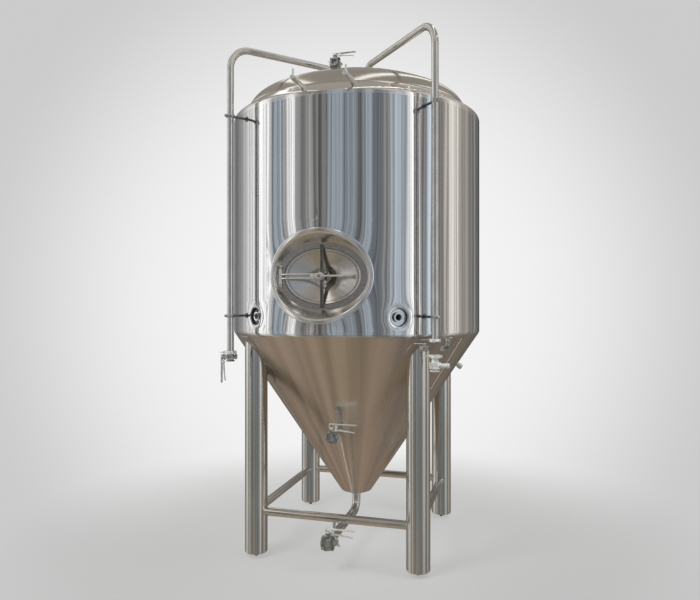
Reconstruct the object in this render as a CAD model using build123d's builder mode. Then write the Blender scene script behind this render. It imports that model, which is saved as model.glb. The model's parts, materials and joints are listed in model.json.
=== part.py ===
from build123d import *

import os
from math import cos, radians, sin, sqrt, tan

# Conical fermenter: a jacketed cone-bottom tank on four tube legs, in millimetres.
# The origin is on the floor on the tank's axis, +Z is up and the manway faces -Y.

os.makedirs("parts", exist_ok=True)

# Vessel and cladding
shell_r = 700
sheet = 3
clad_r = 780
clad_sheet = 2
foam_gap = 0.5
cone_angle = radians(33.7)
cone_tip_r = 96
cone_tip_z = 293
cone_rim_z = cone_tip_z + (clad_r - cone_tip_r) / tan(cone_angle)
vessel_depth = clad_r - shell_r
clad_low_z = 1345
clad_top_z = 2600
shoulder_z = 2632
shoulder_in_r = 697
shoulder_in_z = 2694
head_tangent_z = 2658
head_crown_r = 1400
head_knuckle_r = 140
neck_r = 25.5
neck_bore_r = 23.5

# Manway
manway_z = 1643
opening_rx = 219
opening_rz = 153
frame_rx = 258
frame_rz = 188
frame_front_y = -705
frame_back_y = -648
funnel_front_y = -792
funnel_rx = 305
funnel_rz = 240
lip_rx = 297
lip_rz = 255
lip_height = 3
door_gap = 1.5
hinge_x = -236
hinge_y = -716
stud_r = 8
running_gap = 0.06

# Legs and feet
leg_pitch = 970
leg_r = 66.5
leg_wall = 3
leg_low_z = 26
foot_r = 10
foot_gap = 0.5
thread_r = 9
foot_thread = 70
brace_z = 266
brace_r = 24
pad_r = 108
pad_sheet = 3
pad_gap = 0.05

# Pipework: outside and bore radii of 1.5 inch and 2 inch tube, and of their clamp ferrules
pipe_r = 19.05
pipe_bore_r = 17.4
ferrule_r = 25.25
drain_r = 25.5
drain_bore_r = 23.5
drain_ferrule_r = 32
ferrule_edge = 2.85
ferrule_taper = 3.5
ferrule_tail = 4
gasket_half = 0.8
stand_pipe_radius = 880
cip_azimuth = radians(-39)
vent_azimuth = radians(43)
port_azimuth = radians(32)
port_z = 1423

# Valves: half length, body radius and half width of the body disc
small_valve = (25, 33, 10)
large_valve = (35, 41, 12)
stem_r = 5
racking_z = 738
racking_valve_y = -538
drain_z = 167
drain_valve_y = -605
cip_joint_z = 1219
vent_joint_z = 1304
top_port = (-45, -254)
top_valve_y = -322
top_valve_z = 2938


def save(piece, label):
    """Labels a finished piece and writes it as its own file."""
    piece.part.label = label
    export_step(piece.part, f"parts/{label}.step")


def profile_plane(plane):
    """The plane whose X is the given plane's X and whose Y is its Z."""
    return Plane(origin=plane.origin, x_dir=plane.x_dir, z_dir=-plane.y_dir)


def turned(plane, points, radii=None):
    """A solid turned about the plane's Z from closed (radius, height) points."""
    with BuildPart() as solid:
        with BuildSketch(profile_plane(plane)):
            with BuildLine():
                FilletPolyline(*points, radius=radii or [0] * len(points), close=True)
            make_face()
        revolve(axis=Axis(plane.origin, plane.z_dir))
    return solid


def tube(points, radii, outer_r, inner_r):
    """A tube swept along straight runs joined by arcs of the given radii."""
    with BuildLine() as route:
        if radii:
            FilletPolyline(*points, radius=radii)
        else:
            Line(*points)
    with BuildPart() as solid:
        with BuildSketch(Plane(origin=route.line @ 0, z_dir=route.line % 0)):
            Circle(outer_r)
            if inner_r:
                Circle(inner_r, mode=Mode.SUBTRACT)
        sweep(path=route.line)
    return solid


def cone_z(r, depth):
    """Height of the line that lies depth inside the outer cone, at radius r."""
    return cone_tip_z + (r - cone_tip_r + depth / cos(cone_angle)) / tan(cone_angle)


def radial_plane(azimuth, radius, z):
    """Plane on the tank's side: Z points out, X level, azimuth measured from -Y to +X."""
    out = Vector(sin(azimuth), -cos(azimuth), 0)
    level = Vector(cos(azimuth), sin(azimuth), 0)
    return Plane(origin=out * radius + Vector(0, 0, z), x_dir=level, z_dir=out)


def oval_plane(y):
    """Upright plane at y, seen from the front: X right, Y up, Z towards -Y."""
    return Plane(origin=(0, y, manway_z), x_dir=(1, 0, 0), z_dir=(0, -1, 0))


def oval_loft(front_y, front_size, back_y, back_size):
    """Solid between two upright ovals."""
    with BuildPart() as solid:
        with BuildSketch(oval_plane(front_y)):
            Ellipse(*front_size)
        with BuildSketch(oval_plane(back_y)):
            Ellipse(*back_size)
        loft()
    return solid


axis_plane = Plane.XY
knuckle_center_r = shell_r - head_knuckle_r
crown_center_z = head_tangent_z - sqrt((head_crown_r - head_knuckle_r) ** 2 - knuckle_center_r**2)
head_top_z = crown_center_z + head_crown_r
shell_low_z = cone_z(shell_r, vessel_depth)
neck_top_z = cone_z(neck_r, vessel_depth)


def head_profile(inset):
    """Closed half outline of the dished head, inset from its outside."""
    crown = head_crown_r - inset
    knuckle = head_knuckle_r - inset
    ratio = knuckle_center_r / (head_crown_r - head_knuckle_r)
    joint = (knuckle_center_r + knuckle * ratio, head_tangent_z + knuckle * sqrt(1 - ratio**2))
    tangent = (knuckle_center_r + knuckle, head_tangent_z)
    with BuildSketch(Plane.XZ) as outline:
        with BuildLine():
            Line((0, head_tangent_z), tangent)
            RadiusArc(tangent, joint, -knuckle)
            RadiusArc(joint, (0, crown_center_z + crown), -crown)
            Line((0, crown_center_z + crown), (0, head_tangent_z))
        make_face()
    return outline.sketch


# The outside of the closed tank, used to cut what is welded on to it
with BuildPart() as envelope:
    with BuildSketch(Plane.XZ):
        with BuildLine():
            Polyline(
                (0, cone_tip_z),
                (cone_tip_r, cone_tip_z),
                (clad_r, cone_rim_z),
                (clad_r, shoulder_z),
                (shoulder_in_r, shoulder_in_z),
                (0, shoulder_in_z),
                close=True,
            )
        make_face()
        add(head_profile(0))
    revolve(axis=Axis.Z)

funnel_outer = oval_loft(funnel_front_y, (funnel_rx, funnel_rz), frame_front_y, (frame_rx, frame_rz))
funnel_inner = oval_loft(
    funnel_front_y,
    (funnel_rx - clad_sheet, funnel_rz - clad_sheet),
    frame_front_y,
    (frame_rx - clad_sheet, frame_rz - clad_sheet),
)

frame_hole_depth = 157
with BuildPart() as frame_hole:
    with BuildSketch(oval_plane(frame_front_y)):
        Ellipse(frame_rx, frame_rz)
    extrude(amount=-frame_hole_depth)

# Port cups: a flare from the cladding down to a short wall and a floor round the stub
flare_r = 76
flare_rise = 4
flare_low = -26
cup_r = 52
cup_floor = -32
cup_stub_r = pipe_r + 0.05
stub_low = -84
stub_face = -8
cup_points = [
    (cup_stub_r, cup_floor),
    (cup_r, cup_floor),
    (cup_r, flare_low),
    (flare_r, flare_rise),
    (flare_r - 4, flare_rise),
    (cup_r - clad_sheet, flare_low + 3),
    (cup_r - clad_sheet, cup_floor + clad_sheet),
    (cup_stub_r, cup_floor + clad_sheet),
]
cup_fill_points = [
    (0, stub_low),
    (pipe_r, stub_low),
    (pipe_r, cup_floor),
    (cup_r, cup_floor),
    (cup_r, flare_low),
    (flare_r, flare_rise),
    (0, flare_rise),
]
port_planes = [radial_plane(side * port_azimuth, clad_r, port_z) for side in (-1, 1)]
cup_fills = [turned(plane, cup_fill_points) for plane in port_planes]
stub_points = [
    (pipe_bore_r, stub_low),
    (pipe_r, stub_low),
    (pipe_r, stub_face - ferrule_edge - ferrule_taper),
    (ferrule_r, stub_face - ferrule_edge),
    (ferrule_r, stub_face),
    (pipe_bore_r, stub_face),
]
stub_hole_points = [(0, stub_low), (pipe_r, stub_low), (pipe_r, stub_low + 24), (0, stub_low + 24)]
port_stub_fills = [turned(plane, stub_hole_points) for plane in port_planes]

racking_hole = tube([(0, -500, racking_z), (0, -250, racking_z)], None, pipe_r, 0)

# Glycol sockets: azimuth and height of the two on the cylinder and the two on the cone
nipple_r = 13
nipple_places = [(radians(165), 2010), (radians(195), 2490), (radians(105), 1107), (radians(180), 900)]


def nipple_plane(azimuth, z):
    """Plane square to the cylinder or the cone where a socket stands."""
    level = radial_plane(azimuth, clad_r, z)
    if z > cone_rim_z:
        return level
    r = cone_tip_r + (z - cone_tip_z) * tan(cone_angle)
    out = Vector(sin(azimuth) * cos(cone_angle), -cos(azimuth) * cos(cone_angle), -sin(cone_angle))
    return Plane(origin=(sin(azimuth) * r, -cos(azimuth) * r, z), x_dir=level.x_dir, z_dir=out)


nipple_bore_r = 8
socket_r = nipple_r + 4
socket_low = 22
socket_top = 48
jacket_depth = 8
nipple_points = [
    (nipple_bore_r, jacket_depth - vessel_depth),
    (nipple_r, jacket_depth - vessel_depth),
    (nipple_r, socket_low),
    (socket_r, socket_low),
    (socket_r, socket_top),
    (nipple_bore_r, socket_top),
]
nipple_holes = [
    turned(nipple_plane(azimuth, z), [(0, -72), (nipple_r, -72), (nipple_r, 10), (0, 10)])
    for azimuth, z in nipple_places
]

# Outer cladding
with BuildPart() as outer_cladding:
    with BuildSketch(Plane.XY.offset(clad_low_z)):
        Circle(clad_r)
        Circle(clad_r - clad_sheet, mode=Mode.SUBTRACT)
    extrude(amount=clad_top_z - clad_low_z)
    add(funnel_outer, mode=Mode.SUBTRACT)
    for fill in cup_fills + nipple_holes:
        add(fill, mode=Mode.SUBTRACT)
save(outer_cladding, "outer_cladding")

# Shoulder ring: rolled rim and sloping cover plate up to the bare head
shoulder_ring = turned(
    axis_plane,
    [
        (clad_r - clad_sheet, clad_top_z),
        (clad_r, clad_top_z),
        (clad_r, shoulder_z),
        (shoulder_in_r, shoulder_in_z),
        (shoulder_in_r, shoulder_in_z - clad_sheet),
        (clad_r - clad_sheet, shoulder_z - 1),
    ],
    [0, 0, 26, 0, 0, 24],
)
save(shoulder_ring, "shoulder_ring")

# Cone cladding with its rolled rim and closing plate
cone_inner_tip_r = cone_tip_r + clad_sheet * tan(cone_angle) - clad_sheet / cos(cone_angle)
cone_cladding = turned(
    axis_plane,
    [
        (neck_r + 0.3, cone_tip_z),
        (cone_tip_r, cone_tip_z),
        (clad_r, cone_rim_z),
        (clad_r, clad_low_z),
        (clad_r - clad_sheet, clad_low_z),
        (clad_r - clad_sheet, cone_z(clad_r - clad_sheet, clad_sheet)),
        (cone_inner_tip_r, cone_tip_z + clad_sheet),
        (neck_r + 0.3, cone_tip_z + clad_sheet),
    ],
    [0, 10, 40, 0, 0, 38, 8, 0],
)
with BuildPart() as cone_skin:
    add(cone_cladding)
    for hole in [racking_hole] + nipple_holes:
        add(hole, mode=Mode.SUBTRACT)
save(cone_skin, "cone_cladding")

# Inner shell
with BuildPart() as inner_shell:
    with BuildSketch(Plane.XY.offset(shell_low_z)):
        Circle(shell_r)
        Circle(shell_r - sheet, mode=Mode.SUBTRACT)
    extrude(amount=head_tangent_z - shell_low_z)
    add(frame_hole, mode=Mode.SUBTRACT)
    for fill in port_stub_fills:
        add(fill, mode=Mode.SUBTRACT)
save(inner_shell, "inner_shell")

# Inner cone with its outlet neck and ferrule
neck_face_z = 278
inner_cone_sheet = turned(
    axis_plane,
    [
        (neck_bore_r, neck_face_z),
        (drain_ferrule_r, neck_face_z),
        (drain_ferrule_r, neck_face_z + ferrule_edge),
        (neck_r, neck_face_z + ferrule_edge + ferrule_taper),
        (neck_r, neck_top_z),
        (shell_r, shell_low_z),
        (shell_r - sheet, shell_low_z),
        (neck_bore_r, neck_top_z),
    ],
)
with BuildPart() as inner_cone:
    add(inner_cone_sheet)
    add(racking_hole, mode=Mode.SUBTRACT)
save(inner_cone, "inner_cone")

# Top head with holes for the three top pipes
vent_port = (145 * sin(vent_azimuth), -145 * cos(vent_azimuth))
with BuildPart() as top_head:
    with BuildSketch(Plane.XZ):
        add(head_profile(0))
        add(head_profile(sheet), mode=Mode.SUBTRACT)
    revolve(axis=Axis.Z)
    for x, y in [(0, 0), vent_port, top_port]:
        with Locations((x, y, head_top_z)):
            Cylinder(pipe_r, 120, mode=Mode.SUBTRACT)
save(top_head, "top_head")

# Cooling jackets: one band on the shell and one on the cone
jacket_low_z = 1960
jacket_top_z = 2540
cone_jacket_r = (360, 600)
with BuildPart() as cooling_jackets:
    add(
        turned(
            axis_plane,
            [
                (shell_r, jacket_low_z),
                (shell_r + jacket_depth, jacket_low_z + 6),
                (shell_r + jacket_depth, jacket_top_z - 6),
                (shell_r, jacket_top_z),
            ],
        )
    )
    add(
        turned(
            axis_plane,
            [
                (cone_jacket_r[0], cone_z(cone_jacket_r[0], vessel_depth)),
                (cone_jacket_r[0] + 6, cone_z(cone_jacket_r[0] + 6, vessel_depth - jacket_depth)),
                (cone_jacket_r[1] - 6, cone_z(cone_jacket_r[1] - 6, vessel_depth - jacket_depth)),
                (cone_jacket_r[1], cone_z(cone_jacket_r[1], vessel_depth)),
            ],
        )
    )
save(cooling_jackets, "cooling_jackets")

# Foam between the vessel and the cladding
foam_r = clad_r - clad_sheet - foam_gap
foam_out = clad_sheet + foam_gap
foam_in = vessel_depth - 0.3
foam_body = turned(
    axis_plane,
    [
        (neck_r + 0.3, cone_z(cone_tip_r, foam_out)),
        (cone_tip_r, cone_z(cone_tip_r, foam_out)),
        (foam_r, cone_z(foam_r, foam_out)),
        (foam_r, clad_top_z + 4),
        (shell_r + 0.3, clad_top_z + 50),
        (shell_r + 0.3, cone_z(shell_r + 0.3, foam_in)),
        (neck_r + 0.3, cone_z(neck_r + 0.3, foam_in)),
    ],
    [0, 0, 44, 0, 0, 0, 0],
)
with BuildPart() as insulation:
    add(foam_body)
    add(cooling_jackets, mode=Mode.SUBTRACT)
    add(funnel_outer, mode=Mode.SUBTRACT)
    add(frame_hole, mode=Mode.SUBTRACT)
    for fill in cup_fills + nipple_holes + [racking_hole]:
        add(fill, mode=Mode.SUBTRACT)
save(insulation, "insulation")

# Manway collar: funnel sheet trimmed to the cladding, with a raised rolled lip
with BuildPart() as lip_band:
    with BuildSketch(oval_plane(frame_front_y)):
        Ellipse(lip_rx, lip_rz)
    extrude(amount=120)
    add(funnel_outer, mode=Mode.SUBTRACT)
    with Locations((0, 0, manway_z)):
        Cylinder(clad_r + lip_height, 800, mode=Mode.INTERSECT)
        Cylinder(clad_r, 800, mode=Mode.SUBTRACT)
with BuildPart() as manway_collar:
    add(funnel_outer)
    add(funnel_inner, mode=Mode.SUBTRACT)
    with Locations((0, 0, manway_z)):
        Cylinder(clad_r + lip_height, 800, mode=Mode.INTERSECT)
    add(lip_band)
save(manway_collar, "manway_collar")

# Manway frame: oval neck with two hinge lugs for the pin
lug_low = 42
lug_high = 55
lug_r = 7.5
pin_r = 5
with BuildPart() as manway_frame:
    with BuildSketch(oval_plane(frame_back_y)):
        Ellipse(frame_rx, frame_rz)
        Ellipse(opening_rx, opening_rz, mode=Mode.SUBTRACT)
    extrude(amount=frame_back_y - frame_front_y)
    for z in (manway_z + lug_low, manway_z - lug_high):
        with BuildSketch(Plane.XY.offset(z)):
            with Locations((hinge_x, hinge_y)):
                Circle(lug_r)
            with Locations((hinge_x, (hinge_y + frame_front_y) / 2)):
                Rectangle(2 * lug_r, frame_front_y - hinge_y)
        extrude(amount=lug_high - lug_low)
    with Locations((hinge_x, hinge_y, manway_z)):
        Cylinder(pin_r, 2 * lug_high + 10, mode=Mode.SUBTRACT)
save(manway_frame, "manway_frame")

with BuildPart() as manway_hinge_pin:
    with BuildSketch(Plane.XY.offset(manway_z - lug_high - 4)):
        with Locations((hinge_x, hinge_y)):
            Circle(pin_r)
    extrude(amount=2 * lug_high + 4)
    with BuildSketch(Plane.XY.offset(manway_z + lug_high)):
        with Locations((hinge_x, hinge_y)):
            Circle(pin_r + 3)
    extrude(amount=6)
    fillet(manway_hinge_pin.edges().filter_by(GeomType.CIRCLE).group_by(Axis.Z)[-1], 2)
save(manway_hinge_pin, "manway_hinge_pin")

# Swing arm: knuckle on the pin, two bars and a hub round the door's stud
arm_y = -733
arm_bar_r = 4.5
arm_spread = 11
hub_r = 22
with BuildPart() as swing_arm:
    for side in (-1, 1):
        z = manway_z + side * arm_spread
        add(
            tube(
                [(hinge_x, hinge_y, z), (hinge_x + 34, arm_y, z), (-hub_r + 4, arm_y, z)],
                [18],
                arm_bar_r,
                0,
            )
        )
    with BuildSketch(Plane.XY.offset(manway_z - lug_low + 1)):
        with Locations((hinge_x, hinge_y)):
            Circle(lug_r)
    extrude(amount=2 * lug_low - 2)
    with BuildSketch(oval_plane(arm_y + 9)):
        Circle(hub_r)
    extrude(amount=18)
    with Locations((hinge_x, hinge_y, manway_z)):
        Cylinder(pin_r + running_gap, 2 * lug_high, mode=Mode.SUBTRACT)
    with BuildSketch(oval_plane(arm_y + 20)):
        Circle(stud_r + running_gap)
    extrude(amount=60, mode=Mode.SUBTRACT)
save(swing_arm, "swing_arm")

# Door: oval rim, dished plate and the threaded stud on its boss
door_rx = opening_rx - door_gap
door_rz = opening_rz - door_gap
door_front_y = -700
door_sheet = 4
seat_width = 13
dish_margin = 3
dish_rx = door_rx - dish_margin
dish_rz = door_rz - dish_margin
dish_y = -658
boss_r = 24
dish_back = oval_loft(
    door_front_y + 1 + door_sheet, (dish_rx, dish_rz), dish_y + door_sheet, (boss_r, boss_r)
)
dish_front = oval_loft(door_front_y + 1, (dish_rx - 1, dish_rz - 1), dish_y, (boss_r - 1, boss_r - 1))
with BuildPart() as door:
    with BuildSketch(oval_plane(door_front_y + 10)):
        Ellipse(door_rx, door_rz)
        Ellipse(door_rx - seat_width, door_rz - seat_width, mode=Mode.SUBTRACT)
    extrude(amount=10)
    add(dish_back)
    add(dish_front, mode=Mode.SUBTRACT)
    with BuildSketch(oval_plane(door_front_y + 1)):
        Ellipse(dish_rx - 1, dish_rz - 1)
    extrude(amount=1, mode=Mode.SUBTRACT)
    with BuildSketch(oval_plane(dish_y + 1)):
        Circle(boss_r - 6)
    extrude(amount=14)
    with BuildSketch(oval_plane(dish_y + 1)):
        Circle(stud_r)
    extrude(amount=dish_y + 1 + 768)
save(door, "door")

with BuildPart() as door_gasket:
    with BuildSketch(oval_plane(door_front_y + 16)):
        Ellipse(door_rx - 3, door_rz - 3)
        Ellipse(door_rx - seat_width + 2, door_rz - seat_width + 2, mode=Mode.SUBTRACT)
    extrude(amount=6)
save(door_gasket, "door_gasket")

# Yoke: bar over the short axis of the oval, with a round pad on each end
yoke_back_y = frame_front_y - 0.3
yoke_half = 172
yoke_pad_r = 9
with BuildPart() as yoke:
    with BuildSketch(oval_plane(yoke_back_y)):
        Rectangle(17, 2 * yoke_half - 6)
        Circle(17)
        with Locations((0, yoke_half - yoke_pad_r), (0, yoke_pad_r - yoke_half)):
            Circle(yoke_pad_r + 2)
    extrude(amount=13)
    fillet(yoke.faces().sort_by(Axis.Y)[0].edges(), 2.5)
    with BuildSketch(oval_plane(yoke_back_y - 13)):
        with Locations((0, yoke_half - yoke_pad_r), (0, yoke_pad_r - yoke_half)):
            RegularPolygon(yoke_pad_r - 1, 6)
    extrude(amount=5)
    with BuildSketch(oval_plane(yoke_back_y)):
        Circle(stud_r + running_gap)
    extrude(amount=30, mode=Mode.SUBTRACT)
save(yoke, "yoke")

# Handle: threaded hub with a long bar to one side and a short one to the other
handle_y = -755
handle_bar_r = 5.5
handle_knob_r = 8.5
handle_plane = Plane(origin=(0, handle_y, manway_z), x_dir=(0, 0, 1), z_dir=(1, 0, 0))
with BuildPart() as handle:
    add(
        turned(
            handle_plane,
            [
                (0, -48),
                (handle_knob_r, -48),
                (handle_knob_r, -34),
                (handle_bar_r, -30),
                (handle_bar_r, 114),
                (handle_knob_r, 118),
                (handle_knob_r, 134),
                (0, 134),
            ],
            [0, 5, 2, 0, 0, 2, 5, 0],
        )
    )
    add(turned(oval_plane(handle_y), [(0, -11), (17, -11), (17, 11), (0, 11)], [0, 2, 2, 0]))
    with BuildSketch(oval_plane(handle_y + 20)):
        Circle(stud_r + running_gap)
    extrude(amount=60, mode=Mode.SUBTRACT)
save(handle, "handle")

# Port cups and stubs
with BuildPart() as port_cups:
    for plane in port_planes:
        add(turned(plane, cup_points))
    with Locations((0, 0, port_z)):
        Cylinder(clad_r + 1, 400, mode=Mode.INTERSECT)
save(port_cups, "port_cups")

with BuildPart() as port_stubs:
    for plane in port_planes:
        add(turned(plane, stub_points))
save(port_stubs, "port_stubs")

with BuildPart() as glycol_nipples:
    for azimuth, z in nipple_places:
        add(turned(nipple_plane(azimuth, z), nipple_points))
save(glycol_nipples, "glycol_nipples")

# Legs, feet, pads and braces
leg_centers = {
    "front_left": (-leg_pitch / 2, -leg_pitch / 2),
    "front_right": (leg_pitch / 2, -leg_pitch / 2),
    "back_left": (-leg_pitch / 2, leg_pitch / 2),
    "back_right": (leg_pitch / 2, leg_pitch / 2),
}
leg_top_z = 1300
leg_plate = 8
for corner, (x, y) in leg_centers.items():
    with BuildPart() as leg:
        with BuildSketch(Plane.XY.offset(leg_low_z)):
            with Locations((x, y)):
                Circle(leg_r)
        extrude(amount=leg_top_z - leg_low_z)
        fillet(leg.edges().group_by(Axis.Z)[0], 5)
        with BuildSketch(Plane.XY.offset(leg_low_z + leg_plate)):
            with Locations((x, y)):
                Circle(leg_r - leg_wall)
        extrude(amount=leg_top_z, mode=Mode.SUBTRACT)
        with Locations((x, y, leg_low_z)):
            Cylinder(thread_r + running_gap, 40, mode=Mode.SUBTRACT)
        add(envelope, mode=Mode.SUBTRACT)
    save(leg, f"leg_{corner}")
    with BuildPart() as foot:
        with BuildSketch(Plane.XY):
            with Locations((x, y)):
                Circle(foot_r)
        extrude(amount=leg_low_z - foot_gap)
        with BuildSketch(Plane.XY.offset(leg_low_z - foot_gap)):
            with Locations((x, y)):
                Circle(thread_r)
        extrude(amount=foot_thread)
    save(foot, f"foot_{corner}")

with BuildPart() as pad_posts:
    with BuildSketch(Plane.XY.offset(800)):
        with Locations(*leg_centers.values()):
            Circle(pad_r)
            Circle(leg_r, mode=Mode.SUBTRACT)
    extrude(amount=600)
with BuildPart() as leg_pads:
    add(
        turned(
            axis_plane,
            [
                (500, cone_z(500, -pad_gap)),
                (770, cone_z(770, -pad_gap)),
                (770, cone_z(770, -pad_sheet)),
                (500, cone_z(500, -pad_sheet)),
            ],
        )
    )
    add(pad_posts, mode=Mode.INTERSECT)
save(leg_pads, "leg_pads")

with BuildPart() as braces:
    for side in (-1, 1):
        edge = side * leg_pitch / 2
        add(tube([(-leg_pitch / 2, edge, brace_z), (leg_pitch / 2, edge, brace_z)], None, brace_r, 22))
        add(tube([(edge, -leg_pitch / 2, brace_z), (edge, leg_pitch / 2, brace_z)], None, brace_r, 22))
    with Locations(*[(x, y, brace_z) for x, y in leg_centers.values()]):
        Cylinder(leg_r, 200, mode=Mode.SUBTRACT)
save(braces, "braces")


def on_shoulder(radius):
    """Height of the shoulder's slope at a radius."""
    return shoulder_z + (clad_r - radius) * (shoulder_in_z - shoulder_z) / (clad_r - shoulder_in_r)


# Two ladder hooks and a lifting tab, welded to the shoulder
hook_z = 2662
hook_root_r = 745
hook_reach = 160
hook_bar_r = 14
hook_post_r = 5.5
hook_post_height = 46
tab_r = 735
with BuildPart() as shoulder_brackets:
    for x in (-100, 180):
        root_y = -sqrt(hook_root_r**2 - x**2)
        bar_plane = Plane(origin=(x, root_y + 40, hook_z), x_dir=(1, 0, 0), z_dir=(0, -1, 0))
        bar_length = hook_reach + 40
        bar_points = [(0, 0), (hook_bar_r, 0), (hook_bar_r, bar_length), (0, bar_length)]
        add(turned(bar_plane, bar_points, [0, 0, 4, 0]))
        post_points = [(0, 0), (hook_post_r, 0), (hook_post_r, hook_post_height), (0, hook_post_height)]
        post_plane = Plane(origin=(x, root_y - hook_reach + hook_bar_r, hook_z))
        add(turned(post_plane, post_points, [0, 0, 2, 0]))
    tab_plane = radial_plane(radians(37), tab_r, on_shoulder(tab_r) - 10)
    with BuildSketch(Plane(origin=tab_plane.origin, x_dir=tab_plane.z_dir, z_dir=tab_plane.x_dir)):
        with Locations((0, 16)):
            RectangleRounded(44, 60, 12)
        with Locations((0, 28)):
            Circle(8, mode=Mode.SUBTRACT)
    extrude(amount=4, both=True)
    add(envelope, mode=Mode.SUBTRACT)
save(shoulder_brackets, "shoulder_brackets")


def ferrule(plane, tube_r, bore_r, rim_r):
    """Clamp ferrule whose face lies on the plane and whose tail points along its Z."""
    tail = ferrule_edge + ferrule_taper
    return turned(
        plane,
        [
            (bore_r, 0),
            (rim_r, 0),
            (rim_r, ferrule_edge),
            (tube_r, tail),
            (tube_r, tail + ferrule_tail),
            (bore_r, tail + ferrule_tail),
        ],
    )


tail_length = ferrule_edge + ferrule_taper + ferrule_tail


def stand_pipe(azimuth, joint_z, points, radii):
    """Stand pipe from its bottom ferrule up over the tank."""
    foot_point = radial_plane(azimuth, stand_pipe_radius, joint_z + gasket_half).origin
    with BuildPart() as pipe:
        add(ferrule(Plane(origin=foot_point), pipe_r, pipe_bore_r, ferrule_r))
        start = foot_point + Vector(0, 0, tail_length)
        add(tube([start] + points, radii, pipe_r, pipe_bore_r))
    return pipe


cip_foot = radial_plane(cip_azimuth, stand_pipe_radius, cip_joint_z).origin
vent_foot = radial_plane(vent_azimuth, stand_pipe_radius, vent_joint_z).origin
spray_neck_z = 2862
cip_bend_z = 2948
cip_center_z = 2974
cip_pipe = stand_pipe(
    cip_azimuth,
    cip_joint_z,
    [(cip_foot.X, cip_foot.Y, cip_bend_z), (0, 0, cip_center_z), (0, 0, spray_neck_z)],
    [125, 44],
)
save(cip_pipe, "cip_pipe")

vent_top_z = 2982
vent_pipe = stand_pipe(
    vent_azimuth,
    vent_joint_z,
    [(vent_foot.X, vent_foot.Y, vent_top_z), (*vent_port, vent_top_z), (*vent_port, head_top_z - 22)],
    [125, 52],
)
save(vent_pipe, "vent_pipe")

# Stand-offs and ring clamps that hold the stand pipes
clamp_out_r = 24
clamp_height = 20
bracket_heights = (1426, 2556)
with BuildPart() as pipe_brackets:
    for azimuth in (cip_azimuth, vent_azimuth):
        for z in bracket_heights:
            plane = radial_plane(azimuth, clad_r - 5, z)
            reach = stand_pipe_radius - clamp_out_r - clad_r + 5
            add(turned(plane, [(0, 0), (15, 0), (15, 9), (7, 9), (7, reach), (0, reach)]))
    with Locations((0, 0, 2000)):
        Cylinder(clad_r, 2000, mode=Mode.SUBTRACT)
save(pipe_brackets, "pipe_brackets")

with BuildPart() as pipe_clamps:
    for azimuth in (cip_azimuth, vent_azimuth):
        for z in bracket_heights:
            plane = radial_plane(azimuth, stand_pipe_radius, z)
            upright = Plane(origin=plane.origin, x_dir=plane.z_dir, z_dir=(0, 0, 1))
            half = clamp_height / 2
            add(
                turned(
                    upright,
                    [(pipe_r, -half), (clamp_out_r, -half), (clamp_out_r, half), (pipe_r, half)],
                    [0, 3, 3, 0],
                )
            )
            bolt_origin = plane.origin + plane.z_dir * (clamp_out_r - 2)
            bolt_plane = Plane(origin=bolt_origin, x_dir=(0, 0, 1), z_dir=plane.z_dir)
            add(turned(bolt_plane, [(0, 0), (7, 0), (7, 14), (0, 14)], [0, 0, 3, 0]))
save(pipe_clamps, "pipe_clamps")

# Spray ball on the end of the cleaning pipe
ball_r = 32
ball_z = 2836
with BuildPart() as spray_ball:
    with Locations((0, 0, ball_z)):
        Sphere(ball_r)
    with BuildSketch(Plane.XY.offset(ball_z + 20)):
        Circle(pipe_r + 2)
    extrude(amount=24)
    with Locations((0, 0, ball_z)):
        Sphere(ball_r - 2, mode=Mode.SUBTRACT)
    with BuildSketch(Plane.XY.offset(spray_neck_z)):
        Circle(pipe_r)
    extrude(amount=30, mode=Mode.SUBTRACT)
    with BuildSketch(Plane.XY.offset(ball_z + 15)):
        Circle(pipe_bore_r)
    extrude(amount=20, mode=Mode.SUBTRACT)
    for turn in range(8):
        for tilt in (-30, 15):
            way = Vector(1, 0, 0).rotate(Axis.Y, tilt).rotate(Axis.Z, 45 * turn)
            with BuildSketch(Plane(origin=(0, 0, ball_z), z_dir=way)):
                Circle(1.5)
            extrude(amount=ball_r + 5, mode=Mode.SUBTRACT)
save(spray_ball, "spray_ball")

# Racking pipe through the cone, turned down inside
small_half = small_valve[0]
large_half = large_valve[0]
racking_face_y = racking_valve_y + small_half + 2 * gasket_half
front_out = Plane(origin=(0, racking_face_y, racking_z), x_dir=(1, 0, 0), z_dir=(0, 1, 0))
with BuildPart() as racking_pipe:
    add(ferrule(front_out, pipe_r, pipe_bore_r, ferrule_r))
    add(
        tube(
            [
                (0, racking_face_y + tail_length, racking_z),
                (0, -240, racking_z),
                (0, -190, racking_z - 35),
            ],
            [60],
            pipe_r,
            pipe_bore_r,
        )
    )
save(racking_pipe, "racking_pipe")

# Drain pipe: down from the cone, round a bend and forward, hung from the front brace
drain_face_z = neck_face_z - 2 * gasket_half
drain_face_y = drain_valve_y + large_half + 2 * gasket_half
drain_top = Plane(origin=(0, 0, drain_face_z), z_dir=(0, 0, -1))
with BuildPart() as drain_pipe:
    add(ferrule(drain_top, drain_r, drain_bore_r, drain_ferrule_r))
    add(
        tube(
            [
                (0, 0, drain_face_z - tail_length),
                (0, 0, drain_z),
                (0, drain_face_y + tail_length, drain_z),
            ],
            [70],
            drain_r,
            drain_bore_r,
        )
    )
    add(
        ferrule(
            Plane(origin=(0, drain_face_y, drain_z), x_dir=(1, 0, 0), z_dir=(0, 1, 0)),
            drain_r,
            drain_bore_r,
            drain_ferrule_r,
        )
    )
    add(tube([(0, -leg_pitch / 2, drain_z + 24.5), (0, -leg_pitch / 2, brace_z - 20)], None, 9, 0))
    with BuildSketch(Plane.YZ.offset(-30)):
        with Locations((-leg_pitch / 2, brace_z)):
            Circle(brace_r)
    extrude(amount=60, mode=Mode.SUBTRACT)
save(drain_pipe, "drain_pipe")

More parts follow.
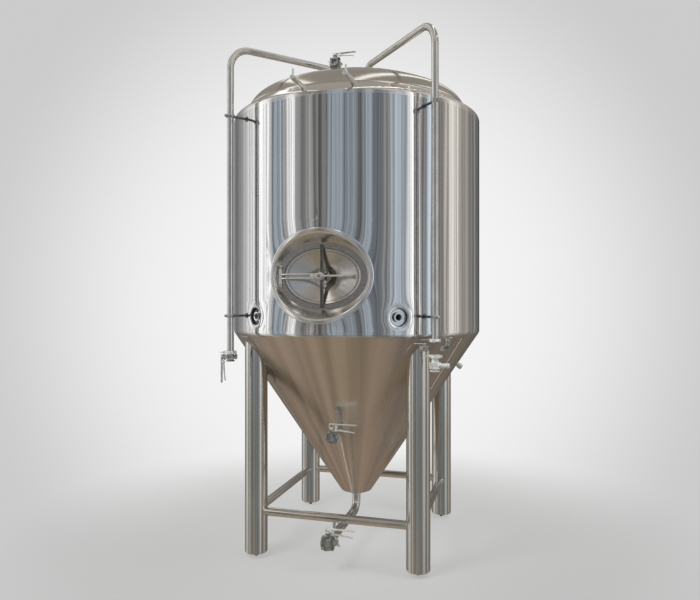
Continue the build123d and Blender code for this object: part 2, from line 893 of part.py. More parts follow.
# Top port: short pipe up from the head, turned forward
top_face_y = top_valve_y + small_half + 2 * gasket_half
top_elbow_r = 24
with BuildPart() as top_port_pipe:
    add(
        tube(
            [
                (*top_port, 2890),
                (*top_port, top_valve_z),
                (top_port[0], top_face_y + tail_length, top_valve_z),
            ],
            [top_elbow_r],
            pipe_r,
            pipe_bore_r,
        )
    )
    add(
        ferrule(
            Plane(origin=(top_port[0], top_face_y, top_valve_z), x_dir=(1, 0, 0), z_dir=(0, 1, 0)),
            pipe_r,
            pipe_bore_r,
            ferrule_r,
        )
    )
save(top_port_pipe, "top_port_pipe")


# Butterfly valves. The valve's plane has Z along the flow and X along the stem.
def valve_body(plane, bore_r, tube_r, rim_r, valve):
    """Body with two ferrules, four bolt lugs, a stem neck and an index plate."""
    half, body_r, body_half = valve
    end = half - ferrule_edge
    taper = end - ferrule_taper
    neck_top = body_r + 8
    with BuildPart() as body:
        add(
            turned(
                plane,
                [
                    (0, -half),
                    (rim_r, -half),
                    (rim_r, -end),
                    (tube_r, -taper),
                    (tube_r, -body_half),
                    (body_r, -body_half),
                    (body_r, body_half),
                    (tube_r, body_half),
                    (tube_r, taper),
                    (rim_r, end),
                    (rim_r, half),
                    (0, half),
                ],
                [0, 0, 0, 0, 0, 2.5, 2.5, 0, 0, 0, 0, 0],
            )
        )
        for turn in (45, 135, 225, 315):
            way = plane.x_dir.rotate(Axis((0, 0, 0), plane.z_dir), turn)
            lug_plane = Plane(origin=plane.origin + way * body_r, x_dir=way, z_dir=plane.z_dir)
            with BuildSketch(lug_plane.offset(-body_half)):
                Circle(7.5)
            extrude(amount=2 * body_half)
            with BuildSketch(lug_plane.offset(-body_half - 5)):
                RegularPolygon(6, 6)
            extrude(amount=2 * body_half + 10)
        stem_plane = Plane(origin=plane.origin, x_dir=plane.z_dir, z_dir=plane.x_dir)
        with BuildSketch(stem_plane.offset(body_r - 8)):
            Circle(9)
        extrude(amount=16)
        with BuildSketch(stem_plane.offset(neck_top - 0.5)):
            RectangleRounded(28, 28, 6)
        extrude(amount=3)
        with BuildSketch(plane.offset(-half)):
            Circle(bore_r)
        extrude(amount=2 * half, mode=Mode.SUBTRACT)
        with BuildSketch(stem_plane.offset(-body_r + 6)):
            Circle(stem_r - 1 + running_gap)
        extrude(amount=body_r, mode=Mode.SUBTRACT)
        with BuildSketch(stem_plane):
            Circle(stem_r + running_gap)
        extrude(amount=neck_top + 20, mode=Mode.SUBTRACT)
    return body


def valve_disc(plane, bore_r, valve, turned_open):
    """Disc with its stem and lower trunnion."""
    body_r = valve[1]
    stem_plane = Plane(origin=plane.origin, x_dir=plane.z_dir, z_dir=plane.x_dir)
    disc_normal = plane.y_dir if turned_open else plane.z_dir
    disc_plane = Plane(origin=plane.origin, x_dir=plane.x_dir, z_dir=disc_normal)
    with BuildPart() as disc:
        with BuildSketch(disc_plane.offset(-2)):
            Circle(bore_r - 0.3)
        extrude(amount=4)
        with BuildSketch(stem_plane):
            Circle(stem_r)
        extrude(amount=body_r + 24)
        with BuildSketch(stem_plane.offset(-body_r + 6.5)):
            Circle(stem_r - 1)
        extrude(amount=body_r - 6.5)
    return disc


def valve_lever_plane(plane, reach, valve):
    """Plane on the underside of the handle: X along the handle, Z along the stem."""
    return Plane(origin=plane.origin + plane.x_dir * (valve[1] + 21), x_dir=reach, z_dir=plane.x_dir)


trigger_pivot = (30, -9)


def valve_handle(plane, reach, valve, length, rise):
    """Lever bent up by its rise, with its hub on the stem and two ears for the trigger's pin."""
    lever = valve_lever_plane(plane, reach, valve)
    pivot_x, pivot_z = trigger_pivot
    side = Plane(origin=lever.origin, x_dir=lever.x_dir, z_dir=-lever.y_dir)
    with BuildPart() as handle_bar:
        with BuildSketch(lever.offset(rise)):
            with Locations((length / 2 - 7, 0)):
                SlotOverall(length + 14, 20)
        extrude(amount=3)
        with BuildSketch(lever):
            with Locations((-2, 0)):
                Rectangle(22, 16)
            with Locations((-11.5, 0)):
                Rectangle(3, 16)
        extrude(amount=3)
        if rise:
            with BuildSketch(lever):
                with Locations((-11.5, 0)):
                    Rectangle(3, 16)
            extrude(amount=rise + 3)
        with BuildSketch(lever.offset(-8)):
            Circle(9)
        extrude(amount=8)
        for face in (4.4, -7):
            with BuildSketch(side.offset(face)):
                with Locations((pivot_x, (pivot_z + rise) / 2)):
                    Rectangle(14, rise - pivot_z)
                with Locations((pivot_x, pivot_z)):
                    Circle(7)
            extrude(amount=2.6)
        with BuildSketch(side.offset(-7)):
            with Locations((pivot_x, pivot_z)):
                Circle(2.5)
        extrude(amount=14)
        with BuildSketch(lever.offset(-8)):
            Circle(stem_r)
        extrude(amount=11, mode=Mode.SUBTRACT)
    return handle_bar


def valve_trigger(plane, reach, valve, length):
    """Finger lever under the handle, on the pin between its ears."""
    lever = valve_lever_plane(plane, reach, valve)
    pivot_x, pivot_z = trigger_pivot
    side = Plane(origin=lever.origin, x_dir=lever.x_dir, z_dir=-lever.y_dir)
    with BuildPart() as trigger:
        with BuildSketch(side.offset(-4)):
            with BuildLine():
                Polyline(
                    (pivot_x - 12, pivot_z),
                    (pivot_x - 8, pivot_z + 5),
                    (pivot_x + 5, pivot_z + 4.5),
                    (length - 24, pivot_z - 8),
                    (length - 14, pivot_z - 13),
                    (length - 16, pivot_z - 16),
                    (length - 26, pivot_z - 11.5),
                    (pivot_x + 2, pivot_z - 5),
                    (pivot_x - 12, pivot_z - 3),
                    close=True,
                )
            make_face()
            with Locations((pivot_x, pivot_z)):
                Circle(2.5 + running_gap, mode=Mode.SUBTRACT)
        extrude(amount=8)
    return trigger


# Name: plane, direction of the handle, tube sizes, valve size, handle length and rise, open at rest
tube_small = (pipe_bore_r, pipe_r, ferrule_r)
tube_large = (drain_bore_r, drain_r, drain_ferrule_r)
up = (0, 0, 1)
cip_valve_z = cip_joint_z - gasket_half - small_half
valves = {
    "cip": (
        Plane(origin=(cip_foot.X, cip_foot.Y, cip_valve_z), x_dir=(-1, 0, 0), z_dir=(0, 0, -1)),
        Vector(0, 0, -1),
        tube_small,
        small_valve,
        150,
        0,
        True,
    ),
    "racking": (
        Plane(origin=(0, racking_valve_y, racking_z), x_dir=up, z_dir=(0, -1, 0)),
        Vector(1, 0, 0),
        tube_small,
        small_valve,
        150,
        21,
        False,
    ),
    "drain": (
        Plane(origin=(0, drain_valve_y, drain_z), x_dir=up, z_dir=(0, -1, 0)),
        Vector(1, 0, 0),
        tube_large,
        large_valve,
        160,
        16,
        False,
    ),
    "top": (
        Plane(origin=(top_port[0], top_valve_y, top_valve_z), x_dir=up, z_dir=(0, -1, 0)),
        Vector(1, 0, 0),
        tube_small,
        small_valve,
        130,
        0,
        False,
    ),
}
for name, (plane, reach, pipe, valve, length, rise, is_open) in valves.items():
    save(valve_body(plane, *pipe, valve), f"{name}_valve_body")
    save(valve_disc(plane, pipe[0], valve, is_open), f"{name}_valve_disc")
    save(valve_handle(plane, reach, valve, length, rise), f"{name}_valve_handle")
    save(valve_trigger(plane, reach, valve, length), f"{name}_valve_trigger")

# Tee under the vent pipe, with an elbow that turns up to an open ferrule on the right
tee_top_z = vent_joint_z - gasket_half
tee_z = 1262
tee_low_z = 1222
tee_down = Plane(origin=(vent_foot.X, vent_foot.Y, tee_top_z), z_dir=(0, 0, -1))
tee_up = Plane(origin=(vent_foot.X, vent_foot.Y, tee_low_z))
elbow_x = vent_foot.X + 66
elbow_top_z = tee_z + 58
elbow_r = 34
branch_r = 14
branch_bore_r = 12
gas_r = 12.5
gas_bore_r = 8
main_top_z = tee_top_z - tail_length
main_low_z = tee_low_z + tail_length
branch_left = Plane(origin=(vent_foot.X, vent_foot.Y, tee_z), z_dir=(-1, 0, 0))
branch_right = Plane(origin=(vent_foot.X, vent_foot.Y, tee_z), z_dir=(1, 0, 0))
branch_end = elbow_x - elbow_r - 4
with BuildPart() as vent_tee:
    with BuildSketch(Plane.XY.offset(main_low_z)):
        with Locations((vent_foot.X, vent_foot.Y)):
            Circle(pipe_r)
    extrude(amount=main_top_z - main_low_z)
    with BuildSketch(branch_right):
        Circle(branch_r)
    extrude(amount=branch_end - vent_foot.X)
    with BuildSketch(branch_left):
        Circle(gas_r)
    extrude(amount=32)
    with BuildSketch(branch_right):
        Circle(branch_bore_r)
    extrude(amount=branch_end - vent_foot.X, mode=Mode.SUBTRACT)
    with BuildSketch(branch_left):
        Circle(gas_bore_r)
    extrude(amount=32, mode=Mode.SUBTRACT)
    with BuildSketch(Plane.XY.offset(main_low_z)):
        with Locations((vent_foot.X, vent_foot.Y)):
            Circle(pipe_bore_r)
    extrude(amount=main_top_z - main_low_z, mode=Mode.SUBTRACT)
    add(ferrule(tee_down, pipe_r, pipe_bore_r, ferrule_r))
    add(ferrule(tee_up, pipe_r, pipe_bore_r, ferrule_r))
    add(
        tube(
            [
                (branch_end, vent_foot.Y, tee_z),
                (elbow_x, vent_foot.Y, tee_z),
                (elbow_x, vent_foot.Y, elbow_top_z - tail_length),
            ],
            [elbow_r],
            branch_r,
            branch_bore_r,
        )
    )
    add(
        ferrule(
            Plane(origin=(elbow_x, vent_foot.Y, elbow_top_z), z_dir=(0, 0, -1)),
            branch_r,
            branch_bore_r,
            ferrule_r,
        )
    )
save(vent_tee, "vent_tee")

# Small ball valve on the tee's left branch, handle to the left over it
gas_plane = Plane(origin=(vent_foot.X - 32, vent_foot.Y, tee_z), x_dir=up, z_dir=(-1, 0, 0))
gas_center = gas_plane.origin + gas_plane.z_dir * 22
with BuildPart() as vent_valve_body:
    add(
        turned(
            gas_plane,
            [(0, 0), (14, 0), (14, 8), (17, 10), (17, 34), (14, 36), (14, 50), (0, 50)],
        )
    )
    with BuildSketch(Plane(origin=gas_center, z_dir=up).offset(10)):
        Circle(7)
    extrude(amount=11)
    with Locations(gas_center):
        Sphere(12.2, mode=Mode.SUBTRACT)
    with BuildSketch(gas_plane):
        Circle(8)
    extrude(amount=50, mode=Mode.SUBTRACT)
    with BuildSketch(Plane(origin=gas_center, z_dir=up)):
        Circle(3.5 + running_gap)
    extrude(amount=30, mode=Mode.SUBTRACT)
save(vent_valve_body, "vent_valve_body")

with BuildPart() as vent_valve_handle:
    with Locations(gas_center):
        Sphere(12)
    with BuildSketch(Plane(origin=gas_center, z_dir=up)):
        Circle(3.5)
    extrude(amount=26)
    with BuildSketch(Plane(origin=gas_center, z_dir=up).offset(22)):
        with Locations((-24, 0)):
            SlotOverall(66, 14)
    extrude(amount=3)
    with BuildSketch(gas_plane):
        Circle(8)
    extrude(amount=50, mode=Mode.SUBTRACT)
save(vent_valve_handle, "vent_valve_handle")

# Relief valve below the tee: hexagon body, adjusting cap and a capped side outlet
relief_top_z = tee_low_z - 2 * gasket_half
relief_plane = Plane(origin=(vent_foot.X, vent_foot.Y, relief_top_z), z_dir=(0, 0, -1))
hex_low = 30
hex_high = 66
with BuildPart() as relief_valve:
    add(ferrule(relief_plane, pipe_r, 12, ferrule_r))
    with BuildSketch(relief_plane.offset(tail_length)):
        Circle(pipe_r)
    extrude(amount=hex_low - tail_length)
    with BuildSketch(relief_plane.offset(hex_low)):
        RegularPolygon(31, 6)
    extrude(amount=hex_high - hex_low)
    chamfer(relief_valve.edges().group_by(Axis.Z)[0], 3)
    with BuildSketch(relief_plane.offset(hex_high)):
        Circle(14)
    extrude(amount=6)
    with BuildSketch(relief_plane.offset(hex_high + 6)):
        Circle(27)
    extrude(amount=8)
    fillet(relief_valve.edges().group_by(Axis.Z)[0], 3)
    side_z = relief_top_z - (hex_low + hex_high) / 2
    outlet_root = (vent_foot.X + 20, vent_foot.Y, side_z)
    outlet_end = (vent_foot.X + 76, vent_foot.Y, side_z)
    add(tube([outlet_root, outlet_end], None, gas_r, 0))
    with BuildSketch(relief_plane):
        Circle(12)
    extrude(amount=hex_low + 20, mode=Mode.SUBTRACT)
save(relief_valve, "relief_valve")


# Joints between ferrules: (centre, direction along the pipe, side of the bolt, rim radius)
side_x = Vector(1, 0, 0)
joints = [
    (Vector(cip_foot.X, cip_foot.Y, cip_joint_z), Vector(0, 0, 1), -side_x, ferrule_r),
    (Vector(vent_foot.X, vent_foot.Y, vent_joint_z), Vector(0, 0, 1), Vector(0, -1, 0), ferrule_r),
    (Vector(vent_foot.X, vent_foot.Y, tee_low_z - gasket_half), Vector(0, 0, 1), -side_x, ferrule_r),
    (Vector(0, racking_face_y - gasket_half, racking_z), Vector(0, 1, 0), side_x, ferrule_r),
    (Vector(top_port[0], top_face_y - gasket_half, top_valve_z), Vector(0, 1, 0), -side_x, ferrule_r),
    (Vector(0, 0, neck_face_z - gasket_half), Vector(0, 0, 1), -side_x, drain_ferrule_r),
    (Vector(0, drain_face_y - gasket_half, drain_z), Vector(0, 1, 0), side_x, drain_ferrule_r),
]


def clamp_ring(plane, rim_r):
    """Split ring with a V groove over two ferrules, and its bolt with a wing nut on +X."""
    groove = gasket_half + ferrule_edge + 1.2
    top = groove + 3.6
    with BuildPart() as ring:
        add(
            turned(
                plane,
                [
                    (rim_r + 0.3, -groove + 1),
                    (rim_r - 2.2, -groove - 1),
                    (rim_r - 2.2, -top),
                    (rim_r + 6, -top),
                    (rim_r + 6, top),
                    (rim_r - 2.2, top),
                    (rim_r - 2.2, groove + 1),
                    (rim_r + 0.3, groove - 1),
                ],
                [0, 0, 0, 2, 2, 0, 0, 0],
            )
        )
        ear_x = rim_r + 11
        with BuildSketch(plane.offset(-6)):
            with Locations((ear_x, 0)):
                Rectangle(14, 22)
        extrude(amount=12)
        with BuildSketch(plane.offset(-7)):
            with Locations((-rim_r - 7, 0)):
                Circle(6)
        extrude(amount=14)
        with BuildSketch(plane.offset(-20)):
            Circle(rim_r - 2.2)
        extrude(amount=40, mode=Mode.SUBTRACT)
        with BuildSketch(plane.offset(-groove + 1)):
            Circle(rim_r + 0.3)
        extrude(amount=2 * groove - 2, mode=Mode.SUBTRACT)
        with BuildSketch(plane.offset(-20)):
            with Locations((ear_x, 0)):
                Rectangle(24, 2.4)
        extrude(amount=40, mode=Mode.SUBTRACT)
    return ring


def clamp_bolt(plane, rim_r):
    """Wing nut and bolt end that stand off one ear of a clamp."""
    across = Plane(
        origin=plane.origin + plane.x_dir * (rim_r + 12) + plane.y_dir * 11,
        x_dir=plane.x_dir,
        z_dir=plane.y_dir,
    )
    with BuildPart() as bolt:
        add(turned(across, [(0, 0), (6.5, 0), (5, 11), (3.2, 11), (3.2, 17), (0, 17)]))
        wing_plane = Plane(origin=across.origin, x_dir=across.x_dir, z_dir=plane.z_dir)
        with BuildSketch(wing_plane.offset(-1.8)):
            with BuildLine():
                Polyline(
                    (-17, 17),
                    (-10, 17),
                    (-3, 4),
                    (3, 4),
                    (10, 17),
                    (17, 17),
                    (13, 6),
                    (4, 1),
                    (-4, 1),
                    (-13, 6),
                    close=True,
                )
            make_face()
        extrude(amount=3.6)
    return bolt


with BuildPart() as tri_clamps:
    for center, along, side, rim_r in joints:
        plane = Plane(origin=center, x_dir=side, z_dir=along)
        add(clamp_ring(plane, rim_r))
        add(clamp_bolt(plane, rim_r))
save(tri_clamps, "tri_clamps")

with BuildPart() as clamp_gaskets:
    for center, along, side, rim_r in joints:
        plane = Plane(origin=center, x_dir=side, z_dir=along)
        bore = drain_bore_r if rim_r == drain_ferrule_r else pipe_bore_r
        half = gasket_half
        add(turned(plane, [(bore, -half), (rim_r, -half), (rim_r, half), (bore, half)]))
save(clamp_gaskets, "clamp_gaskets")
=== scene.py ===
import json
from math import atan2, cos, exp, hypot, pi, radians, sin, sqrt, tan

import bmesh
import bpy
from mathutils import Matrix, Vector


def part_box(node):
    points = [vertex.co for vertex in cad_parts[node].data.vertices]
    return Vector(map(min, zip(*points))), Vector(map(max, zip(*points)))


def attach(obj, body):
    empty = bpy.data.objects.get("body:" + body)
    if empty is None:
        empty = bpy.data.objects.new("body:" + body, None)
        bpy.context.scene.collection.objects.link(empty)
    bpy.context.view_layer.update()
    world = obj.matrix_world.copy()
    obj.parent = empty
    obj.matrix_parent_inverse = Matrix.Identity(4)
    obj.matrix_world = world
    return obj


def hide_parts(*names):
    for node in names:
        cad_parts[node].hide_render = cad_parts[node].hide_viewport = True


# Looks of the conical fermenter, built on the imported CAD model. Metres throughout,
# with the floor at z = 0, the tank's axis on Z and the manway facing -Y.

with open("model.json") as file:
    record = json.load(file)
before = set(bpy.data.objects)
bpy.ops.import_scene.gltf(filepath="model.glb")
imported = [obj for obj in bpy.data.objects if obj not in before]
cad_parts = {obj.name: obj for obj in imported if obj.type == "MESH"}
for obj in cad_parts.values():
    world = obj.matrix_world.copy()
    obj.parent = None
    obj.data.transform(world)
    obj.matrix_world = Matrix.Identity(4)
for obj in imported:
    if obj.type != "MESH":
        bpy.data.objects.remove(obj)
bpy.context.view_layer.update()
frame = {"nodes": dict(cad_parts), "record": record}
nodes = frame["nodes"]

# Polished cylinder, and the thickness of its sheet
cladding_low, cladding_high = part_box("outer_cladding")
clad_r = cladding_high.x
clad_bottom = cladding_low.z
clad_top = cladding_high.z
sheet = 0.002

# Manway: half axes of its neck, of the funnel's wide end and of the raised lip
frame_low, frame_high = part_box("manway_frame")
manway_z = (frame_low.z + frame_high.z) / 2
frame_rx = (frame_high.x - frame_low.x) / 2
frame_rz = (frame_high.z - frame_low.z) / 2
frame_front_y = -0.705
funnel_front_y = -0.792
funnel_rx = 0.305
funnel_rz = 0.240
lip_rx = 0.297
lip_rz = 0.255
lip_height = 0.003
lip_r = clad_r + lip_height

# Port cups, one on each side of the manway's centre line
port_azimuth = radians(32)
port_z = 1.423
port_r = 0.076
cup_r = 0.050
cup_depth = 0.030
stub_r = 0.0193

# Outer cone, and the lower end of the polished edge that is rolled over its rim
cone_angle = radians(33.7)
cone_tip_r = 0.096
cone_tip_z = 0.293
cone_rim_r = 0.765
rolled_edge = 0.025
polish_edge_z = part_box("cone_cladding")[1].z - rolled_edge


# Node helpers
def add_node(tree, kind, inputs=None, **settings):
    """A node with its settings made and its inputs linked or set."""
    made = tree.nodes.new(kind)
    for key, value in settings.items():
        setattr(made, key, value)
    for key, value in (inputs or {}).items():
        if isinstance(value, bpy.types.NodeSocket):
            tree.links.new(value, made.inputs[key])
        else:
            made.inputs[key].default_value = value
    return made


def new_material(name, constants):
    """A material with a Principled shader; constants go straight on its sockets."""
    made = bpy.data.materials.new(name)
    made.use_nodes = True
    shader = made.node_tree.nodes["Principled BSDF"]
    for key, value in constants.items():
        shader.inputs[key].default_value = value
    return made, made.node_tree, shader


def surface_place(tree):
    """Position of the shaded point."""
    return add_node(tree, "ShaderNodeNewGeometry").outputs["Position"]


def sum_of(tree, operation, first, second):
    """Result of one sum on two values."""
    return add_node(tree, "ShaderNodeMath", {0: first, 1: second}, operation=operation).outputs[0]


def level_direction(tree, parts):
    """Unit vector along the level part of a split vector."""
    flat = add_node(tree, "ShaderNodeCombineXYZ", {0: parts.outputs[0], 1: parts.outputs[1]})
    return add_node(
        tree, "ShaderNodeVectorMath", {0: flat.outputs[0]}, operation="NORMALIZE"
    ).outputs[0]


def polar_coordinates(tree, around, up):
    """Direction from the axis together with height, each scaled, with no seam."""
    parts = add_node(tree, "ShaderNodeSeparateXYZ", {0: surface_place(tree)})
    spread = add_node(
        tree,
        "ShaderNodeVectorMath",
        {0: level_direction(tree, parts), 1: (around, around, 0)},
        operation="MULTIPLY",
    )
    height = sum_of(tree, "MULTIPLY", parts.outputs[2], up)
    lifted = add_node(tree, "ShaderNodeCombineXYZ", {2: height})
    return add_node(
        tree, "ShaderNodeVectorMath", {0: spread.outputs[0], 1: lifted.outputs[0]}, operation="ADD"
    ).outputs[0]


def noise(tree, vector, scale, detail=3.0):
    """Noise value at a vector."""
    return add_node(
        tree, "ShaderNodeTexNoise", {"Vector": vector, "Scale": scale, "Detail": detail}
    ).outputs[0]


def spread_range(tree, value, low, high, from_low=0.3, from_high=0.7, kind="LINEAR"):
    """Value stretched from one range to another, and held at its ends."""
    return add_node(
        tree,
        "ShaderNodeMapRange",
        {0: value, 1: from_low, 2: from_high, 3: low, 4: high},
        interpolation_type=kind,
    ).outputs[0]


def mix_colour(tree, factor, first, second):
    """Mix of two colours."""
    made = add_node(tree, "ShaderNodeMix", data_type="RGBA")
    for index, value in ((0, factor), (6, first), (7, second)):
        if isinstance(value, bpy.types.NodeSocket):
            tree.links.new(value, made.inputs[index])
        else:
            made.inputs[index].default_value = value
    return made.outputs[2]


# Materials
def steel(name, light, dark, rough, rough_spread, around, up):
    """Stainless steel with marks that run round the axis or along it, by the two scales."""
    cloud_scale = 2.2
    mark_detail = 6.0
    made, tree, shader = new_material(name, {"Metallic": 1.0})
    marks = noise(tree, polar_coordinates(tree, around, up), 1.0, mark_detail)
    clouds = noise(tree, surface_place(tree), cloud_scale)
    tint = spread_range(tree, sum_of(tree, "ADD", marks, clouds), 0, 1, 0.7, 1.3)
    tree.links.new(mix_colour(tree, tint, (*dark, 1), (*light, 1)), shader.inputs["Base Color"])
    tree.links.new(
        spread_range(tree, marks, rough - rough_spread, rough + rough_spread),
        shader.inputs["Roughness"],
    )
    return made


def plain(name, light, dark, rough, metallic, scale, bump):
    """Small-part finish: mottled colour and roughness, and a fine bump of a depth in metres."""
    spot_detail = 4.0
    made, tree, shader = new_material(name, {"Metallic": metallic})
    spots = noise(tree, surface_place(tree), scale, spot_detail)
    tint = spread_range(tree, spots, 0, 1)
    tree.links.new(mix_colour(tree, tint, (*dark, 1), (*light, 1)), shader.inputs["Base Color"])
    tree.links.new(
        spread_range(tree, spots, rough * 0.75, rough * 1.25), shader.inputs["Roughness"]
    )
    dents = add_node(tree, "ShaderNodeBump", {"Height": spots, "Distance": bump, "Strength": 1.0})
    tree.links.new(dents.outputs[0], shader.inputs["Normal"])
    return made


def brushed(name):
    """Belt-ground cone plate: fine rings, soft painted highlight streaks down the slope, a
    polished rolled edge.
    """
    dark_streak = (0.50, 0.465, 0.425, 1)
    painted_highlight_streak = (0.70, 0.645, 0.585, 1)
    ring_mark = (0.30, 0.27, 0.24, 1)
    ring_strength = 0.07
    polished_colour = (0.72, 0.72, 0.72, 1)
    polished_rough = 0.08
    ground_rough_low, ground_rough_high = 0.20, 0.30
    edge_blend = 0.001
    made, tree, shader = new_material(name, {"Metallic": 1.0})
    streaks = noise(tree, polar_coordinates(tree, around=7, up=0.35), 1.0, 5.0)
    rings = noise(tree, polar_coordinates(tree, around=5, up=240), 1.0, 4.0)
    # Painted highlights: light streaks down the slope stand for the highlight streaks that the
    # ring grain reflects
    painted_streak_share = spread_range(tree, streaks, 0, 1, 0.38, 0.62)
    painted_streaked = mix_colour(tree, painted_streak_share, dark_streak, painted_highlight_streak)
    ring_share = spread_range(tree, rings, 0, ring_strength)
    ringed = mix_colour(tree, ring_share, painted_streaked, ring_mark)
    height = add_node(tree, "ShaderNodeSeparateXYZ", {0: surface_place(tree)}).outputs[2]
    edge = spread_range(
        tree, height, 0, 1, polish_edge_z - edge_blend, polish_edge_z + edge_blend
    )
    tree.links.new(mix_colour(tree, edge, ringed, polished_colour), shader.inputs["Base Color"])
    ground_rough = spread_range(tree, streaks, ground_rough_low, ground_rough_high)
    rough = add_node(
        tree, "ShaderNodeMix", {0: edge, 2: ground_rough, 3: polished_rough}, data_type="FLOAT"
    )
    tree.links.new(rough.outputs[0], shader.inputs["Roughness"])
    return made


# Light and dark colour, roughness and its spread, scale of the marks round the axis and up it
steel_finishes = {
    # mirror_steel: its light and dark streaks up the cylinder are partly polishing marks, partly
    # painted reflection streaks
    "mirror_steel": ((0.76, 0.76, 0.76), (0.68, 0.69, 0.70), 0.055, 0.02, 60, 1.2),
    "collar_steel": ((0.88, 0.86, 0.83), (0.78, 0.76, 0.73), 0.16, 0.04, 24, 12),
    "cup_steel": ((0.82, 0.83, 0.85), (0.74, 0.75, 0.77), 0.13, 0.04, 40, 40),
    "leg_steel": ((0.66, 0.64, 0.60), (0.58, 0.56, 0.52), 0.14, 0.03, 9, 2),
    "head_steel": ((0.68, 0.65, 0.61), (0.62, 0.59, 0.55), 0.17, 0.02, 3, 120),
    "shoulder_steel": ((0.88, 0.86, 0.84), (0.78, 0.76, 0.74), 0.13, 0.02, 3, 120),
    "inner_steel": ((0.66, 0.65, 0.63), (0.56, 0.55, 0.54), 0.25, 0.05, 6, 60),
    "satin_steel": ((0.62, 0.60, 0.58), (0.52, 0.50, 0.48), 0.20, 0.04, 25, 90),
    "door_steel": ((0.73, 0.70, 0.67), (0.63, 0.60, 0.57), 0.14, 0.03, 25, 60),
    # dark_steel also paints the shade on the port cups' walls
    "dark_steel": ((0.26, 0.26, 0.27), (0.18, 0.18, 0.19), 0.22, 0.05, 40, 40),
}
# Light and dark colour, roughness, metallic share, scale of the mottle and depth of the bump
plain_finishes = {
    "polished_fittings": ((0.80, 0.80, 0.78), (0.68, 0.68, 0.66), 0.09, 0.75, 24, 0.00004),
    "pipe_steel": ((0.78, 0.76, 0.73), (0.66, 0.64, 0.61), 0.08, 1.0, 12, 0.00002),
    "cast_steel": ((1.0, 1.0, 0.98), (0.60, 0.62, 0.60), 0.12, 0.40, 60, 0.0005),
    "body_steel": ((0.80, 0.82, 0.79), (0.15, 0.16, 0.145), 0.12, 0.85, 50, 0.0012),
    "seam_steel": ((1.0, 0.89, 0.80), (0.90, 0.77, 0.68), 0.35, 0.15, 40, 0.0001),
    # yoke_steel: its dark colour is a painted dark reflection of the yoke
    "yoke_steel": ((0.30, 0.29, 0.27), (0.22, 0.21, 0.19), 0.14, 1.0, 24, 0.00004),
    "black_steel": ((0.035, 0.033, 0.03), (0.015, 0.015, 0.014), 0.4, 0.8, 60, 0.0005),
    "seal_rubber": ((0.10, 0.10, 0.095), (0.06, 0.06, 0.055), 0.5, 0.0, 80, 0.0005),
    "foam": ((0.86, 0.79, 0.52), (0.74, 0.66, 0.40), 0.9, 0.0, 90, 0.002),
}
finishes = {"brushed_steel": brushed("brushed_steel")}
for name, values in steel_finishes.items():
    finishes[name] = steel(name, *values)
for name, values in plain_finishes.items():
    finishes[name] = plain(name, *values)

# Nodes whose finish isn't the one named by their material slot
node_finishes = {
    "top_head": "head_steel",
    "shoulder_ring": "shoulder_steel",
    "braces": "pipe_steel",
    "door": "door_steel",
    "yoke": "yoke_steel",
    "cip_pipe": "pipe_steel",
    "vent_pipe": "pipe_steel",
    "drain_pipe": "pipe_steel",
    "tri_clamps": "cast_steel",
    "vent_tee": "body_steel",
    "relief_valve": "cast_steel",
    "pipe_clamps": "body_steel",
    "pipe_brackets": "dark_steel",
    "vent_valve_body": "body_steel",
    "vent_valve_handle": "cast_steel",
}
for valve in ("cip", "racking", "drain", "top"):
    node_finishes[f"{valve}_valve_body"] = "body_steel"
    for part in ("disc", "handle", "trigger"):
        node_finishes[f"{valve}_valve_{part}"] = "cast_steel"
for corner in ("front_left", "front_right", "back_left", "back_right"):
    node_finishes[f"leg_{corner}"] = "leg_steel"

crease_angle = radians(32)
slot_of = {part["node"]: part["material_slot"] for part in frame["record"]["subparts"]}
for name, piece in nodes.items():
    piece.data.materials.clear()
    piece.data.materials.append(finishes[node_finishes.get(name, slot_of[name])])
    piece.data.polygons.foreach_set("use_smooth", [True] * len(piece.data.polygons))
    piece.data.set_sharp_from_angle(angle=crease_angle)


# Meshes that stand for thin CAD skins
def new_piece(name, points, faces, finish, slot, body, *replaced):
    """A smooth mesh piece that rides on a body and stands for CAD nodes."""
    mesh = bpy.data.meshes.new(name)
    mesh.from_pydata(points, [], faces)
    mesh.polygons.foreach_set("use_smooth", [True] * len(faces))
    mesh.materials.append(finishes[finish])
    made = bpy.data.objects.new(name, mesh)
    bpy.context.scene.collection.objects.link(made)
    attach(made, body)
    if replaced:
        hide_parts(*replaced)
    return made


def thicken(piece, depth):
    """Gives an open sheet its thickness, behind its face, with crisp cut edges."""
    sheet_mesh = bmesh.new()
    sheet_mesh.from_mesh(piece.data)
    for edge in sheet_mesh.edges:
        edge.smooth = not edge.is_boundary
    sheet_mesh.to_mesh(piece.data)
    sheet_mesh.free()
    shell = piece.modifiers.new("thickness", "SOLIDIFY")
    shell.thickness = depth
    shell.offset = -1


def smooth_step(t):
    """Share between 0 and 1, eased at both ends."""
    t = max(0, min(1, t))
    return t * t * (3 - 2 * t)


def ripple(azimuth, z):
    """Unevenness of the polished sheet, in metres, from rolling and forming."""
    slow_height = 0.00016
    middle_height = 0.00010
    fine_height = 0.000035
    slow = slow_height * sin(7 * azimuth + 1.1 * sin(1.3 * z)) * sin(1.9 * z + 2 * azimuth)
    middle = middle_height * sin(31 * azimuth + 1.5 * sin(1.7 * z + 3 * azimuth))
    fine = fine_height * sin(83 * azimuth + 2.5 * sin(1.1 * z + 5 * azimuth))
    return slow + middle + fine


